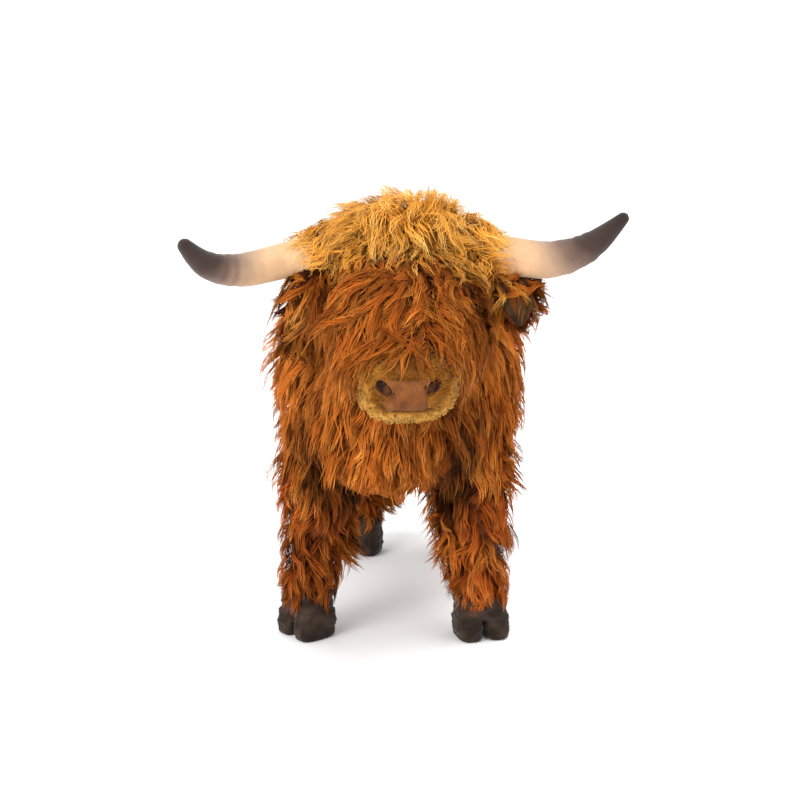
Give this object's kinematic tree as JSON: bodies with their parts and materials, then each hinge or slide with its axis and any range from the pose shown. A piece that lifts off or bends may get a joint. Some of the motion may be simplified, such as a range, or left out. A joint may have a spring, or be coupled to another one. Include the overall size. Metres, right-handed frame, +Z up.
{
  "type": "plush toy highland cow",
  "caption": "Standing stuffed toy highland cow in long shaggy plush, with spread velour horns, hair over its eyes and cloven suede feet.",
  "frame": {"origin": "on the floor, under the middle of the whole cow", "axes": "+Z up; the cow faces -Y; +X is its left side"},
  "size_m": [0.482, 0.7872, 0.5665],
  "materials": {
    "rust_plush": "long-pile plush, soft sheen",
    "golden_plush": "long-pile plush, soft sheen",
    "muzzle_velour": "short-pile plush",
    "nose_suede": "suede cloth",
    "nostril_felt": "matt cloth",
    "ear_lining": "short-pile plush",
    "horn_velour": "velour, sprayed dark towards the tips",
    "hoof_suede": "suede cloth",
    "eye": "polished"
  },
  "bodies": {
    "root": {"chin": "muzzle_velour", "cuff_front_left": "hoof_suede", "cuff_front_right": "hoof_suede", "cuff_hind_left": "hoof_suede", "cuff_hind_right": "hoof_suede", "ear_left": "rust_plush", "ear_lining_left": "ear_lining", "ear_lining_right": "ear_lining", "ear_right": "rust_plush", "eye_left": "eye", "eye_right": "eye", "head": "rust_plush", "horn_left": "horn_velour", "horn_right": "horn_velour", "leg_front_left": "rust_plush", "leg_front_right": "rust_plush", "leg_hind_left": "rust_plush", "leg_hind_right": "rust_plush", "muzzle": "muzzle_velour", "neck": "rust_plush", "nose_panel": "nose_suede", "nostril_left": "nostril_felt", "nostril_right": "nostril_felt", "tail": "rust_plush", "tail_switch": "rust_plush", "toe_front_left_inner": "hoof_suede", "toe_front_left_outer": "hoof_suede", "toe_front_right_inner": "hoof_suede", "toe_front_right_outer": "hoof_suede", "toe_hind_left_inner": "hoof_suede", "toe_hind_left_outer": "hoof_suede", "toe_hind_right_inner": "hoof_suede", "toe_hind_right_outer": "hoof_suede", "topknot": "golden_plush", "trunk": "rust_plush"}
  },
  "joints": []
}
